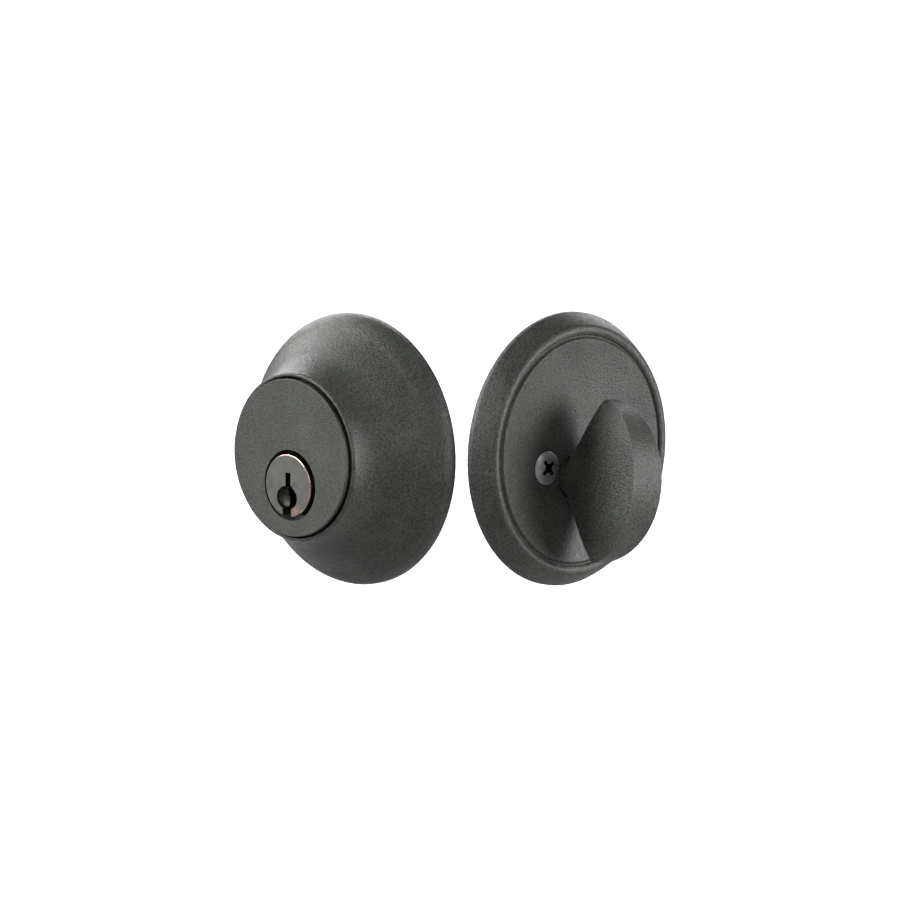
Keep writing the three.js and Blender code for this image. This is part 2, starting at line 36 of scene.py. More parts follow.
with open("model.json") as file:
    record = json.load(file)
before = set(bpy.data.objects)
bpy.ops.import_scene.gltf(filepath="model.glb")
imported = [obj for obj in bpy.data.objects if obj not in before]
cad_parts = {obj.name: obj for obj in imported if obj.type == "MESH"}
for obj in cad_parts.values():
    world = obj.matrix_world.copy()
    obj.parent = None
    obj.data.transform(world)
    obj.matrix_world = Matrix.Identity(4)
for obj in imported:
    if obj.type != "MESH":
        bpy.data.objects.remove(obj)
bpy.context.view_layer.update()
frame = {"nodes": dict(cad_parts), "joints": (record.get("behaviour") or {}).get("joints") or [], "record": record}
joints = {joint["name"]: joint for joint in frame["joints"]}

# ---- Places, worked out from the frame ----
collar_low, collar_high = (Vector(corner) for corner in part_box("exterior_collar"))
rose_low, rose_high = (Vector(corner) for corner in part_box("interior_rose"))
plug_low, plug_high = (Vector(corner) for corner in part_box("key_plug"))
collar_centre = (collar_low + collar_high) / 2
rose_centre = (rose_low + rose_high) / 2
plug_centre = (plug_low + plug_high) / 2


def trim_frame(seat_centre, quarter_turns):
    """A trim's own frame: millimetres, x to the right, y up, z out of the door, z = 0 on the door's face."""
    turn = Matrix.Rotation(quarter_turns * math.pi / 2, 4, "Z") @ Matrix.Rotation(math.pi / 2, 4, "X")
    return Matrix.Translation(seat_centre) @ turn @ Matrix.Scale(MM, 4)


def at(x, y, z=0.0, turn=0.0):
    """A place in a frame, turned about z."""
    return Matrix.Translation((x, y, z)) @ Matrix.Rotation(turn, 4, "Z")


DROP = -plug_centre.z / MM  # drive axis below the centre of the trims
OUTSIDE = trim_frame(Vector((collar_centre.x, collar_high.y, collar_centre.z)), 0)
INSIDE = trim_frame(Vector((rose_low.x, rose_centre.y, rose_centre.z)), 1)
OUT_DRIVE = OUTSIDE @ at(0, -DROP)
IN_DRIVE = INSIDE @ at(0, -DROP)

# The bolt unit's frame: x is the way the bolt comes out, with x = 0 on the door's edge; y up.
BACKSET = 60.3
bolt_way = Vector(joints["bolt_slide"]["axis"])
cam_centre = Vector(joints["hub_cam_turn"]["pos_m"])
edge_centre = Vector((cam_centre.x, cam_centre.y, collar_centre.z)) + bolt_way * BACKSET * MM
UNIT = (
    Matrix.Translation(edge_centre)
    @ Matrix.Rotation(math.atan2(bolt_way.y, bolt_way.x), 4, "Z")
    @ Matrix.Rotation(math.pi / 2, 4, "X")
    @ Matrix.Scale(MM, 4)
)
UNIT_LENGTHWAYS = UNIT @ Matrix.Rotation(math.pi / 2, 4, "Y")

# ---- Sizes in millimetres ----
# Outside trim
COLLAR_R = (collar_high.x - collar_low.x) / 2 / MM
COLLAR_H = (collar_high.y - collar_low.y) / MM
LIP_R = 20.9  # the collar's narrow end
FACE_R = 19.4  # the cylinder's round face
FACE_Z = COLLAR_H + 1.25
SEAM = 0.5  # gap round that face
PLUG_R = 6.35
HEAD_R = 7.7  # the plug's face
HEAD_Z = FACE_Z + 0.65
MOUTH_R = 8.75  # opening round the plug's face
CHAMBER_R = 1.6
PIN_DEPTHS = [15.6 - 3.96 * i for i in range(5)]  # z of the pin chambers
POST_X, POST_Y = 6, 16.5  # the posts, and the through bolts that meet them

# Inside trim
ROSE_R = (rose_high.y - rose_low.y) / 2 / MM
ROSE_WALL = 1.9
BEAD_R, BEAD_Z = 31.0, 6.0
GROOVE_R, GROOVE_Z = 28.5, 5.65
DISH_EDGE_R, DISH_EDGE_Z = 27.5, 6.4
DISH_CENTRE_Z = 4.0
TRIM_SCREW_X, TRIM_SCREW_Y = 10, -3.5
TURN_LEAN = math.radians(-6.5)
TURN_HALF_HEIGHT = 20.1
TURN_HALF_THICKNESS = 5.1
TURN_TIP = 2.0  # half-width of the blunt tips
TURN_TOP_Z, TURN_TIP_Z, TURN_BACK_Z = 28.6, 15.0, 6.0
TURN_SHOULDER = 5.1  # how far in from the tips the ends of the front curve aim

# Bolt unit; the link, the saw guard and the rivets are centres of pins across it
THROW = joints["bolt_slide"]["range_m"][1] / MM
CAM_ARM = THROW / math.sqrt(2)
CAM_START = -math.pi / 4
LINK = (-32.4, 4.5)
SAW_GUARD = (-12, 0)
RIVETS = [(-50.5, -11.5), (-76.4, -9.5)]


def dish(r):
    """Height of the rose's dished face at a radius."""
    return DISH_CENTRE_Z + (DISH_EDGE_Z - DISH_CENTRE_Z) * (r / DISH_EDGE_R) ** 2


SCREW_TOP = dish(math.hypot(TRIM_SCREW_X, TRIM_SCREW_Y))


# ---- Outlines ----
def arc_corner(before, corner, after, radius, steps=5):
    """Points of a fillet of that radius at the corner of an outline."""
    corner = Vector(corner)
    a = (Vector(before) - corner).normalized()
    b = (Vector(after) - corner).normalized()
    half = a.angle(b) / 2
    reach = radius / math.tan(half)
    reach = min(reach, 0.49 * (Vector(before) - corner).length, 0.49 * (Vector(after) - corner).length)
    radius = reach * math.tan(half)
    centre = corner + (a + b).normalized() * (radius / math.sin(half))
    start, end = corner + a * reach - centre, corner + b * reach - centre
    sweep = start.angle_signed(end)
    return [tuple(centre + Matrix.Rotation(-sweep * i / steps, 2) @ start) for i in range(steps + 1)]


def rounded(outline):
    """A closed outline of (x, y) or (x, y, fillet radius) points, with its fillets as arcs."""
    points = []
    count = len(outline)
    for i, point in enumerate(outline):
        if len(point) == 2 or point[2] == 0:
            points.append(tuple(point[:2]))
            continue
        before, after = outline[i - 1][:2], outline[(i + 1) % count][:2]
        points += arc_corner(before, point[:2], after, point[2])
    return points


def bezier(a, b, c, steps=16):
    """Points on a quadratic curve from a to c, drawn towards b."""
    points = []
    for i in range(steps + 1):
        t = i / steps
        points.append(tuple((1 - t) ** 2 * p + 2 * t * (1 - t) * q + t * t * r for p, q, r in zip(a, b, c)))
    return points


def cubic(a, b, c, d, steps):
    """Points on a cubic curve from a to d, drawn towards b and c."""
    points = []
    for i in range(steps + 1):
        t = i / steps
        weights = ((1 - t) ** 3, 3 * t * (1 - t) ** 2, 3 * t * t * (1 - t), t**3)
        points.append(tuple(sum(w * p[k] for w, p in zip(weights, (a, b, c, d))) for k in (0, 1)))
    return points


def ring_with_gap(inner, outer, half_gap, steps=36):
    """Outline of a C-shaped clip, open at the top."""
    a, b = math.asin(half_gap / inner), math.asin(half_gap / outer)
    points = []
    for i in range(steps + 1):
        angle = math.pi / 2 - b - (2 * math.pi - 2 * b) * i / steps
        points.append((outer * math.cos(angle), outer * math.sin(angle)))
    for i in range(steps + 1):
        angle = math.pi / 2 + a + (2 * math.pi - 2 * a) * i / steps
        points.append((inner * math.cos(angle), inner * math.sin(angle)))
    return points


# ---- Solids. Their sizes are in millimetres, in the frame that place stands for. ----
def make(name, verts, faces, place=Matrix.Identity(4)):
    """An object from points and faces, with its faces turned outwards."""
    mesh = bpy.data.meshes.new(name)
    mesh.from_pydata([place @ Vector(v) for v in verts], [], faces)
    work = bmesh.new()
    work.from_mesh(mesh)
    bmesh.ops.remove_doubles(work, verts=work.verts, dist=1e-9)
    bmesh.ops.recalc_face_normals(work, faces=work.faces)
    work.to_mesh(mesh)
    work.free()
    piece = bpy.data.objects.new(name, mesh)
    bpy.context.scene.collection.objects.link(piece)
    return piece


def turned(name, outline, segments=192, place=Matrix.Identity(4)):
    """A solid of revolution about z from a closed outline of (r, z) or (r, z, fillet) points."""
    verts, faces, rings = [], [], []
    for r, z in rounded(outline):
        if r < 1e-6:
            rings.append([len(verts)] * segments)
            verts.append((0, 0, z))
            continue
        rings.append(list(range(len(verts), len(verts) + segments)))
        for k in range(segments):
            angle = 2 * math.pi * k / segments
            verts.append((r * math.cos(angle), r * math.sin(angle), z))
    for i, ring in enumerate(rings):
        following = rings[(i + 1) % len(rings)]
        for k in range(segments):
            beside = (k + 1) % segments
            corners = [ring[k], ring[beside], following[beside], following[k]]
            corners = [v for j, v in enumerate(corners) if v != corners[j - 1]]
            if len(set(corners)) > 2:
                faces.append(corners)
    return make(name, verts, faces, place)


def slab(name, outline, z0, z1, place=Matrix.Identity(4)):
    """A flat outline pulled from z0 to z1."""
    points = rounded(outline)
    count = len(points)
    verts = [(x, y, z0) for x, y in points] + [(x, y, z1) for x, y in points]
    faces = [list(range(count))[::-1], list(range(count, 2 * count))]
    faces += [[i, (i + 1) % count, count + (i + 1) % count, count + i] for i in range(count)]
    return make(name, verts, faces, place)


def box(name, x0, x1, y0, y1, z0, z1, place=Matrix.Identity(4)):
    return slab(name, [(x0, y0), (x1, y0), (x1, y1), (x0, y1)], z0, z1, place)


def rod(name, radius, z0, z1, centre=(0, 0), segments=64, place=Matrix.Identity(4)):
    """A plain cylinder along z."""
    return turned(name, [(0, z0), (radius, z0), (radius, z1), (0, z1)], segments, place @ at(*centre))


def threaded(name, radius, depth, z0, z1, place, pitch=0.79, segments=40, steps=6):
    """A rod whose side is one helical thread, run out at both ends."""
    verts, faces = [], []
    rows = round((z1 - z0) / pitch * steps)
    for i in range(rows + 1):
        z = z0 + (z1 - z0) * i / rows
        runout = min(1.0, (z - z0) / pitch, (z1 - z) / pitch)
        for k in range(segments):
            phase = (z / pitch - k / segments) % 1.0
            r = radius - depth * (0.5 + (abs(2 * phase - 1) - 0.5) * runout)
            angle = 2 * math.pi * k / segments
            verts.append((r * math.cos(angle), r * math.sin(angle), z))
    for i in range(rows):
        row, above = i * segments, (i + 1) * segments
        for k in range(segments):
            beside = (k + 1) % segments
            faces.append([row + k, row + beside, above + beside, above + k])
    faces.append(list(range(segments))[::-1])
    faces.append([rows * segments + k for k in range(segments)])
    return make(name, verts, faces, place)


def merge(name, tools):
    """One object from several that don't touch each other."""
    work = bmesh.new()
    for tool in tools:
        work.from_mesh(tool.data)
        bpy.data.objects.remove(tool)
    mesh = bpy.data.meshes.new(name)
    work.to_mesh(mesh)
    work.free()
    piece = bpy.data.objects.new(name, mesh)
    bpy.context.scene.collection.objects.link(piece)
    return piece


def settle(piece):
    """Applies the piece's modifiers to its mesh."""
    graph = bpy.context.evaluated_depsgraph_get()
    made = bpy.data.meshes.new_from_object(piece.evaluated_get(graph), depsgraph=graph)
    old = piece.data
    piece.modifiers.clear()
    piece.data = made
    bpy.data.meshes.remove(old)


def boolean(piece, tools, operation="DIFFERENCE"):
    """Cuts the tools from the piece, or joins or intersects them with it, and removes them."""
    for tool in tools:
        step = piece.modifiers.new("cut", "BOOLEAN")
        step.operation = operation
        step.solver = "EXACT"
        step.object = tool
        settle(piece)
        bpy.data.objects.remove(tool)
    return piece


def drop_empty_triangles(mesh):
    work = bmesh.new()
    work.from_mesh(mesh)
    bmesh.ops.dissolve_degenerate(work, dist=1e-7, edges=work.edges)
    work.to_mesh(mesh)
    work.free()


def ease(piece, width, segments=2, angle=38):
    """Rounds the edges of a piece that are sharper than angle; width in millimetres."""
    drop_empty_triangles(piece.data)
    step = piece.modifiers.new("ease", "BEVEL")
    step.width = width * MM
    step.segments = segments
    step.limit_method = "ANGLE"
    step.angle_limit = math.radians(angle)
    settle(piece)


def shade(piece, angle=32):
    """Smooth shading that leaves flat faces flat beside their rounded edges."""
    piece.data.shade_smooth()
    piece.data.set_sharp_from_angle(angle=math.radians(angle))
    step = piece.modifiers.new("flat_faces", "WEIGHTED_NORMAL")
    step.keep_sharp = True
    settle(piece)


def fit_out(piece, material, body, *nodes, slot=None):
    """Gives a finished piece its material and body, and lets it stand for CAD nodes."""
    shade(piece)
    if not piece.data.materials:
        piece.data.materials.append(material)
    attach(piece, body)
    if nodes:
        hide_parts(*nodes)


# ---- Materials ----
# The third coat colour lightens the coat's edges: thin wear and painted highlight.
COAT_DARK, COAT_LIGHT, COAT_EDGE_WEAR_AND_HIGHLIGHT = (0.025, 0.028, 0.023), (0.086, 0.092, 0.08), (0.12, 0.122, 0.115)
FACE_DARK, FACE_LIGHT = (0.034, 0.037, 0.031), (0.086, 0.091, 0.079)
BRONZE_DARK, BRONZE_LIGHT, COPPER = (0.16, 0.158, 0.145), (0.24, 0.237, 0.217), (0.6, 0.36, 0.29)


class Nodes:
    """A small builder for one material's node tree."""

    def __init__(self, name):
        self.material = bpy.data.materials.new(name)
        self.material.use_nodes = True
        self.tree = self.material.node_tree
        self.shader = self.tree.nodes["Principled BSDF"]
        self.place = self.add("ShaderNodeTexCoord").outputs["Object"]

    def add(self, kind, **settings):
        node = self.tree.nodes.new(kind)
        for key, value in settings.items():
            setattr(node, key, value)
        return node

    def link(self, source, target):
        self.tree.links.new(source, target)

    def noise(self, size_mm, detail=3.0, roughness=0.55):
        node = self.add("ShaderNodeTexNoise")
        node.inputs["Scale"].default_value = 1 / (size_mm * MM)
        node.inputs["Detail"].default_value = detail
        node.inputs["Roughness"].default_value = roughness
        self.link(self.place, node.inputs["Vector"])
        return node.outputs["Fac"]

    def cells(self, size_mm, smoothness):
        node = self.add("ShaderNodeTexVoronoi", feature="SMOOTH_F1")
        node.inputs["Scale"].default_value = 1 / (size_mm * MM)
        node.inputs["Smoothness"].default_value = smoothness
        self.link(self.place, node.inputs["Vector"])
        return node.outputs["Distance"]

    def ramp(self, factor, stops):
        """A colour or a grey level at each stop."""
        node = self.add("ShaderNodeValToRGB")
        for element, (position, colour) in zip(node.color_ramp.elements, stops):
            element.position = position
            element.color = (*colour, 1) if isinstance(colour, tuple) else (colour, colour, colour, 1)
        self.link(factor, node.inputs["Fac"])
        return node.outputs["Color"]

    def spread(self, factor, low, high):
        """Maps 0.3..0.7 of a texture to low..high."""
        node = self.add("ShaderNodeMapRange")
        node.inputs["From Min"].default_value = 0.3
        node.inputs["From Max"].default_value = 0.7
        node.inputs["To Min"].default_value = low
        node.inputs["To Max"].default_value = high
        self.link(factor, node.inputs["Value"])
        return node.outputs["Result"]

    def math(self, operation, a, b):
        node = self.add("ShaderNodeMath", operation=operation)
        for socket, value in zip(node.inputs, (a, b)):
            if isinstance(value, (int, float)):
                socket.default_value = value
            else:
                self.link(value, socket)
        return node.outputs["Value"]

    def weighted(self, a, a_weight, b, b_weight):
        """a * a_weight + b * b_weight."""
        return self.math("ADD", self.math("MULTIPLY", a, a_weight), self.math("MULTIPLY", b, b_weight))

    def mix(self, factor, a, b):
        """Mixes two colour outputs or tuples."""
        node = self.add("ShaderNodeMix", data_type="RGBA")
        self.link(factor, node.inputs["Factor"])
        for socket, value in zip(node.inputs[6:8], (a, b)):  # the node's two colour inputs
            if isinstance(value, tuple):
                socket.default_value = (*value, 1)
            else:
                self.link(value, socket)
        return node.outputs[2]

    def distance(self, point):
        """Distance from a line through point along the row's Y axis, in metres."""
        away = self.add("ShaderNodeVectorMath", operation="SUBTRACT")
        self.link(self.place, away.inputs[0])
        away.inputs[1].default_value = tuple(point)
        across = self.add("ShaderNodeVectorMath", operation="MULTIPLY")
        self.link(away.outputs[0], across.inputs[0])
        across.inputs[1].default_value = (1, 0, 1)
        length = self.add("ShaderNodeVectorMath", operation="LENGTH")
        self.link(across.outputs[0], length.inputs[0])
        return length.outputs["Value"]

    def edges(self, radius_mm):
        """1 on sharp edges, fading out within about radius_mm, by how far a rounded normal leans."""
        rounded_off = self.add("ShaderNodeBevel", samples=4)
        rounded_off.inputs["Radius"].default_value = radius_mm * MM
        along = self.add("ShaderNodeVectorMath", operation="DOT_PRODUCT")
        self.link(rounded_off.outputs["Normal"], along.inputs[0])
        self.link(self.add("ShaderNodeNewGeometry").outputs["Normal"], along.inputs[1])
        node = self.add("ShaderNodeMapRange")
        node.inputs["From Min"].default_value = 0.99
        node.inputs["From Max"].default_value = 0.85
        self.link(along.outputs["Value"], node.inputs["Value"])
        return node.outputs["Result"]

    def edge_wear_and_highlight(self, radius_mm, patch_mm, low, high):
        """Patchy lightening along the edges: wear, and on the coat also painted highlight."""
        return self.math("MULTIPLY", self.edges(radius_mm), self.spread(self.noise(patch_mm), low, high))

    def bump(self, height, depth_mm, strength=1.0):
        node = self.add("ShaderNodeBump")
        node.inputs["Strength"].default_value = strength
        node.inputs["Distance"].default_value = depth_mm * MM
        self.link(height, node.inputs["Height"])
        self.link(node.outputs["Normal"], self.shader.inputs["Normal"])

    def finish(self, colour, roughness, **values):
        """Links colour and roughness to the shader and sets its uniform values."""
        self.link(colour, self.shader.inputs["Base Color"])
        if roughness is not None:
            self.link(roughness, self.shader.inputs["Roughness"])
        for key, value in values.items():
            self.shader.inputs[key].default_value = value
        return self.material


def pebbled_coat(name, dark, light, grain_mm, depth_mm, roughness):
    """Black powder coat with a leathery grain: pits painted darker than tops as painted shade of the grain, and
    edges lightened as thin wear and painted highlight.
    """
    nodes = Nodes(name)
    pebbles = nodes.math("SUBTRACT", 1.0, nodes.cells(grain_mm, 0.35))
    grain = nodes.math("ADD", pebbles, nodes.math("MULTIPLY", nodes.noise(grain_mm * 0.7, 3.0, 0.7), 0.9))
    nodes.bump(grain, depth_mm)
    # Painted shade of the grain: its height also sets the colour, so the pits come out darker than the tops; the
    # slow noise is the coat's own cloudy tone.
    tone = nodes.weighted(grain, 0.5, nodes.noise(9, 4.0), 0.3)
    coat_with_painted_pit_shade = nodes.ramp(tone, [(0.5, dark), (0.82, light)])
    # Edges lightened towards the third coat colour: thin wear and painted highlight.
    colour = nodes.mix(nodes.edge_wear_and_highlight(0.3, 1.4, 0.0, 0.5), coat_with_painted_pit_shade, COAT_EDGE_WEAR_AND_HIGHLIGHT)
    return nodes.finish(colour, nodes.spread(nodes.noise(1.1, 2.0), roughness * 0.85, roughness * 1.2))


def metal(name, dark, light, roughness, blotch_mm=6, worn=None, metallic=1.0):
    """Metal or plastic with cloudy tone, fine grain and uneven gloss, and a brighter tone on worn edges."""
    nodes = Nodes(name)
    fine = nodes.noise(0.25, 4.0)
    tone = nodes.weighted(nodes.noise(blotch_mm, 4.0), 0.65, fine, 0.35)
    colour = nodes.ramp(tone, [(0.35, dark), (0.65, light)])
    if worn:
        colour = nodes.mix(nodes.edge_wear_and_highlight(0.25, 0.9, 0.3, 1.0), colour, worn)
    nodes.bump(fine, 0.004, 0.6)
    return nodes.finish(colour, nodes.spread(fine, roughness * 0.8, roughness * 1.25), Metallic=metallic)


def bronzed_face(name, centre, rubbed_spot):
    """The plug's face: grey bronze, rubbed to copper towards its rim and beside the key's way in."""
    nodes = Nodes(name)
    fine = nodes.noise(0.22, 4.0)
    rim = nodes.math("DIVIDE", nodes.distance(centre), HEAD_R * MM)
    rim = nodes.math("ADD", rim, nodes.math("MULTIPLY", nodes.noise(1.3), 0.35))
    rim = nodes.ramp(rim, [(1.0, 0), (1.3, 0.5)])
    spot = nodes.math("DIVIDE", nodes.distance(rubbed_spot), 2.6 * MM)
    spot = nodes.math("ADD", spot, nodes.math("MULTIPLY", nodes.noise(0.8), 0.5))
    spot = nodes.ramp(spot, [(0.3, 0.7), (1.1, 0)])
    tone = nodes.weighted(nodes.noise(2.5, 4.0), 0.6, fine, 0.4)
    bronze = nodes.ramp(tone, [(0.35, BRONZE_DARK), (0.65, BRONZE_LIGHT)])
    colour = nodes.mix(nodes.math("MAXIMUM", rim, spot), bronze, COPPER)
    nodes.bump(fine, 0.004, 0.6)
    return nodes.finish(colour, nodes.spread(fine, 0.36, 0.52), Metallic=1.0)


coat = pebbled_coat("coat_pebbled", COAT_DARK, COAT_LIGHT, 0.46, 0.085, 0.42)
coat_fine = pebbled_coat("coat_fine", FACE_DARK, FACE_LIGHT, 0.4, 0.05, 0.48)
plug_face = bronzed_face("plug_face", plug_centre, plug_centre + Vector((2.3, 0, -6.2)) * MM)
plug_edge = metal("plug_worn_edge", (0.5, 0.32, 0.26), (0.85, 0.68, 0.6), 0.28, 1.2)
plug_side = metal("plug_side", (0.05, 0.032, 0.024), (0.17, 0.115, 0.09), 0.4, 1.5)
# Near black for the plug's recesses: painted shade in the keyway, its pocket and the scoop.
plug_recess_painted_shade = metal("plug_recess_painted_shade", (0.02, 0.022, 0.018), (0.055, 0.057, 0.048), 0.45, 1.2)
screw_head = metal("screw_dark_nickel", (0.46, 0.44, 0.465), (0.66, 0.64, 0.67), 0.45, 2, (0.78, 0.76, 0.78))
# Near black for the screws' cross recesses: painted shade.
screw_recess_painted_shade = metal("screw_recess_painted_shade", (0.006, 0.006, 0.007), (0.02, 0.02, 0.021), 0.5, 1)
brass = metal("brass_machined", (0.42, 0.25, 0.07), (0.62, 0.42, 0.15), 0.32, worn=(0.8, 0.62, 0.3))
zinc = metal("zinc_plate", (0.4, 0.41, 0.42), (0.62, 0.63, 0.64), 0.36, 4, (0.78, 0.79, 0.8))
spring_wire = metal("spring_wire", (0.24, 0.25, 0.26), (0.4, 0.41, 0.42), 0.28)
steel_hard = metal("steel_hardened", (0.11, 0.12, 0.13), (0.24, 0.25, 0.26), 0.38, 3, (0.5, 0.5, 0.51))
nylon = metal("nylon_natural", (0.66, 0.63, 0.55), (0.8, 0.77, 0.69), 0.5, metallic=0.0)

# The pins, springs and cover inside the cylinder are shown as the CAD part has them, in these finishes.
CAD_FINISH = {
    "textured_black": coat,
    "plug_bronze": plug_face,
    "black_screw": screw_head,
    "brass": brass,
    "zinc_steel": zinc,
    "spring_steel": spring_wire,
    "hard_steel": steel_hard,
    "nylon": nylon,
}
for entry in frame["record"]["subparts"]:
    cad_mesh = frame["nodes"][entry["node"]].data
    cad_mesh.materials.clear()
    cad_mesh.materials.append(CAD_FINISH[entry["material_slot"]])


# ---- Outside trim ----
def build_collar():
    """A hollow cone: rim on the door, rounded shoulder, concave neck and a lip round the face."""
    seam_r = FACE_R + SEAM
    outline = [(30.2, 0), (COLLAR_R, 0, 0.3)]
    outline += bezier((COLLAR_R, 1.6), (COLLAR_R - 0.4, 4.5), (30.0, 7.2))
    outline += bezier((24.9, 13.0), (LIP_R + 0.7, 17.0), (LIP_R, 21.3), 20)
    outline += bezier((LIP_R - 0.02, 21.5), (LIP_R - 0.1, COLLAR_H), (seam_r + 0.35, COLLAR_H), 10)
    outline += [(seam_r, COLLAR_H, 0.2), (seam_r, 19.8), (18.5, 19.8, 0.2), (18.5, 17.2)]
    outline += [(20.8, 16.4), (27.4, 7.8), (30.2, 5.0, 0.8)]
    collar = turned("tapered_collar", outline, 256, OUTSIDE)
    fit_out(collar, coat, "fixed_on_door", "exterior_collar", slot="textured_black")


def build_guard_ring():
    """The hardened cup inside the collar."""
    outline = [(25.2, 0.3, 0.2), (27.6, 0.3, 0.3), (27.6, 6.4, 0.5), (26.4, 8, 0.4)]
    outline += [(18.5, 8, 0.2), (18.5, 6.8, 0.2), (25.2, 6.8, 0.6)]
    ring = turned("guard_cup", outline, 128, OUTSIDE)
    fit_out(ring, steel_hard, "fixed_on_door", "guard_ring", slot="hard_steel")


def chamber_tools(y0, y1, place):
    """Upright drillings of the pin chambers."""
    tools = []
    for z in PIN_DEPTHS:
        upright = Matrix.Translation((0, 0, z)) @ Matrix.Rotation(-math.pi / 2, 4, "X")
        tools.append(rod("chamber", CHAMBER_R, y0, y1, segments=32, place=place @ upright))
    return merge("chambers", tools)


def build_housing():
    """The cylinder: round face with the plug's mouth, pin chambers, and ears for the posts."""
    outline = [(0, -4), (17.9, -4, 0.5), (17.9, 20.1), (18.6, 20.1, 0.2), (18.6, 22.9)]
    outline += [(FACE_R, 22.9, 0.1), (FACE_R, FACE_Z, 0.22), (0, FACE_Z)]
    body = turned("cylinder_body", outline, 256, OUTSIDE)
    post_centres = [(side * POST_X, -side * POST_Y) for side in (-1, 1)]
    boolean(body, [rod("ear", 4.2, -4, 6.3, centre, 48, OUTSIDE) for centre in post_centres], "UNION")
    bore = rod("bore", PLUG_R + 0.12, -5, 22, (0, -DROP), 96, OUTSIDE)
    mouth = rod("mouth", MOUTH_R, 20.4, FACE_Z + 1, (0, -DROP), 128, OUTSIDE)
    sockets = merge("sockets", [rod("socket", 2.2, -5, 1.4, centre, 32, OUTSIDE) for centre in post_centres])
    cover_slot = box("cover_slot", -2.5, 2.5, 13.4, 19, -2.4, 18.4, OUTSIDE)
    chambers = chamber_tools(-DROP + PLUG_R - 3, 14, OUTSIDE)
    sideways = Matrix.Translation((0, 1.4, 18.8)) @ Matrix.Rotation(math.pi / 2, 4, "Y")
    guard_pin_hole = rod("guard_pin_hole", 1.15, -20, 20, segments=24, place=OUTSIDE @ sideways)
    boolean(body, [bore, mouth, sockets, cover_slot, chambers, guard_pin_hole])
    ease(body, 0.16, 3)
    body.name = "cylinder_face"
    fit_out(body, coat_fine, "fixed_on_door", "cylinder_housing", slot="textured_black")


def keyway_outline():
    """A warded slot, open at the bottom of the plug."""
    right = [(0.85, 3.15, 0.15), (0.85, 0.2, 0.15), (1.45, -0.3, 0.15), (1.45, -1.5, 0.15)]
    right += [(0.6, -2.1, 0.15), (0.6, -3.7, 0.15), (1.0, -4.2, 0.15), (1.0, -9)]
    left = [(-0.7, -9), (-0.7, -3.2, 0.15), (-1.15, -2.7, 0.15), (-1.15, -1.2, 0.15)]
    left += [(-0.85, -0.7, 0.15), (-0.85, 3.15, 0.15)]
    return right + left


def scoop():
    """Tool for the rounded recess that guides the key in."""
    outline = [(0, HEAD_Z - 1.5)]
    outline += bezier((0.8, HEAD_Z - 1.5), (3.1, HEAD_Z - 1.4), (3.45, HEAD_Z - 0.1), 8)
    outline += [(3.5, HEAD_Z + 1), (0, HEAD_Z + 1)]
    return turned("scoop", outline, 64, OUT_DRIVE @ at(-0.4, -3.05) @ Matrix.Scale(0.86, 4, (0, 1, 0)))


def key_entry():
    """Tool for the deep pocket beside the keyway and the slot below it."""
    outline = [(-0.75, -0.75, 0.3), (1.3, -0.75, 0.8), (2.75, -2.0, 0.9)]
    outline += [(2.75, -4.1, 0.9), (1.1, -5.5, 0.4), (-0.75, -5.5, 0.3)]
    pocket = slab("pocket", outline, HEAD_Z - 3.4, HEAD_Z + 1, OUT_DRIVE)
    outline = [(-1.9, -5.3, 0.9), (0.85, -5.3, 0.3), (0.85, -9), (-1.9, -9)]
    return boolean(pocket, [slab("notch", outline, HEAD_Z - 3.0, HEAD_Z + 1, OUT_DRIVE)], "UNION")


def paint_plug(plug):
    """The plug's face, worn rim and side each have their own material; its recesses get a near-black one, painted
    shade.
    """
    for material in (plug_face, plug_edge, plug_side, plug_recess_painted_shade):
        plug.data.materials.append(material)
    rim, side, recess = 1, 2, 3
    to_plug = OUT_DRIVE.inverted()
    for face in plug.data.polygons:
        centre = to_plug @ face.center
        r = math.hypot(centre.x, centre.y)
        if centre.z > HEAD_Z - 0.3 and r > HEAD_R - 0.36:
            face.material_index = rim
        elif r > PLUG_R + 0.6 and centre.z < HEAD_Z - 0.1:
            face.material_index = side
        # Faces sunk below the face take the near-black material: painted shade in the recesses.
        elif centre.z < HEAD_Z - 0.12:
            face.material_index = recess


def build_plug():
    """The keyed plug: its head with the key's way in, and the pin chambers behind."""
    outline = [(0, -7.7), (4.6, -7.7, 0.3), (4.6, -5.4), (3.6, -5.4), (3.6, -4.3), (PLUG_R, -4.3, 0.2)]
    outline += [(PLUG_R, 20.8), (HEAD_R, 20.8, 0.2), (HEAD_R, HEAD_Z, 0.28), (0, HEAD_Z)]
    plug = turned("plug", outline, 192, OUT_DRIVE)
    keyway = slab("keyway", keyway_outline(), -3.2, HEAD_Z + 1, OUT_DRIVE)
    boolean(plug, [keyway, scoop(), key_entry(), chamber_tools(-0.7, PLUG_R + 1, OUT_DRIVE)])
    # The tailpiece's lug can swing a quarter turn in the end of the plug before it is driven.
    for i in range(7):
        place = OUT_DRIVE @ at(0, 0, 0, i * math.pi / 12)
        boolean(plug, [box("lug_room", -1.15, 1.15, -3.9, 3.9, -9, -6.4, place)])
    ease(plug, 0.07)
    plug.name = "key_plug_finished"
    paint_plug(plug)
    fit_out(plug, plug_face, "plug", "key_plug", slot="plug_bronze")


def build_plug_clip():
    """The clip in the groove behind the plug."""
    clip = slab("clip_ring", ring_with_gap(3.9, 7.9, 2.6), -5.1, -4.4, OUT_DRIVE)
    ease(clip, 0.1)
    clip.name = "plug_retaining_clip"
    fit_out(clip, spring_wire, "plug", "plug_clip", slot="spring_steel")


